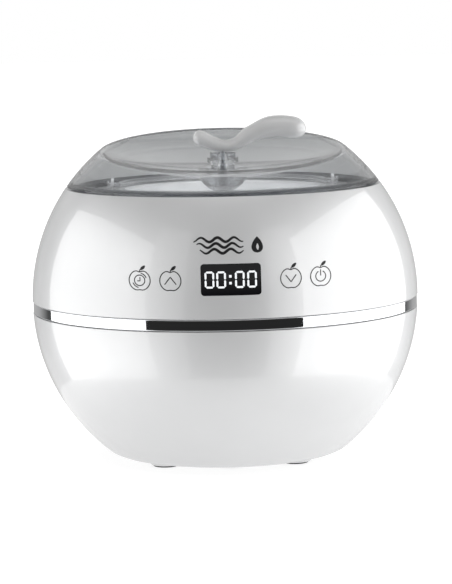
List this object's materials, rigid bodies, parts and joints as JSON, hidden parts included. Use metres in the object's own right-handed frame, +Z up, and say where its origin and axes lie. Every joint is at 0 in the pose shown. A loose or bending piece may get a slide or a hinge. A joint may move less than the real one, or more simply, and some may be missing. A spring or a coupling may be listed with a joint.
{
  "type": "wax warmer pot",
  "caption": "Ball-shaped electric wax warmer with a clear dished lid and leaf handle, a lift-out pot with a bail, touch keys and a small display",
  "frame": {"origin": "on the ball's upright axis at the bottom of the feet", "axes": "+Z up, +X to the right of someone facing the display, -Y towards that person (the front)"},
  "size_m": [0.216, 0.216, 0.1896],
  "materials": {
    "white_casing": "polished white moulded plastic",
    "clear_lid": "clear polished acrylic",
    "handle_white": "smooth off-white moulded plastic",
    "chrome_trim": "mirror-bright plated trim",
    "pot_aluminium": "spun, polished rim",
    "steel": "plain bright steel",
    "brass_contact": "plain",
    "display_black": "black glossy window with white seven-segment figures behind it",
    "black_plastic": "moulded black",
    "foot_rubber": "matt rubber",
    "circuit_board": "solder-masked board",
    "insulation_felt": "glass-fibre felt",
    "mica": "pressed mica sheet",
    "component_blue": "moulded blue",
    "transformer_tape": "yellow winding tape",
    "lead_white": "white silicone insulation"
  },
  "bodies": {
    "base": {"lower_casing": "white_casing", "upper_casing": "white_casing", "deck_ring": "white_casing", "chrome_band": "chrome_trim", "heating_well": "pot_aluminium", "clamp_plate": "steel", "heating_element": "steel", "thermal_fuse": "steel", "casing_screw_right": "steel", "casing_screw_back": "steel", "casing_screw_left": "steel", "casing_screw_front": "steel", "control_board_screw_left": "steel", "control_board_screw_right": "steel", "power_board_screw_front_left": "steel", "power_board_screw_front_right": "steel", "power_board_screw_back_left": "steel", "power_board_screw_back_right": "steel", "temperature_sensor": "brass_contact", "inlet_pin_left": "brass_contact", "inlet_pin_right": "brass_contact", "touch_contact_timer": "brass_contact", "touch_contact_up": "brass_contact", "touch_contact_down": "brass_contact", "touch_contact_power": "brass_contact", "display_window": "display_black", "display_module": "black_plastic", "filter_capacitor": "black_plastic", "mains_inlet": "black_plastic", "inlet_shroud": "black_plastic", "foot_back_right": "foot_rubber", "foot_back_left": "foot_rubber", "foot_front_left": "foot_rubber", "foot_front_right": "foot_rubber", "control_board": "circuit_board", "power_board": "circuit_board", "insulation_sleeve": "insulation_felt", "mica_pad": "mica", "relay": "component_blue", "terminal_block": "component_blue", "transformer": "transformer_tape", "inlet_lead": "lead_white", "heater_lead": "lead_white", "control_lead": "lead_white"},
    "lid": {"lid_shell": "clear_lid", "handle_socket": "clear_lid", "retaining_clip": "clear_lid", "handle_screw": "steel", "lid_handle": "handle_white"},
    "pot": {"wax_pot": "pot_aluminium"},
    "bail": {"pot_bail": "steel"}
  },
  "joints": [
    {"name": "lid_lift", "type": "slide", "parent": "base", "child": "lid", "axis": [0, 0, 1], "range_m": [0, 0.15]},
    {"name": "pot_lift", "type": "slide", "parent": "base", "child": "pot", "axis": [0, 0, 1], "range_m": [0, 0.0675]},
    {"name": "bail_hinge", "type": "hinge", "parent": "pot", "child": "bail", "pos_m": [0, 0, 0.1522], "axis": [1, 0, 0], "range_deg": [0, 90]}
  ],
  "couplings": [
    {"joint": "pot_lift", "follows": "lid_lift", "ratio": 0.45},
    {"joint": "bail_hinge", "follows": "lid_lift", "rad_per_m": 10.47}
  ]
}
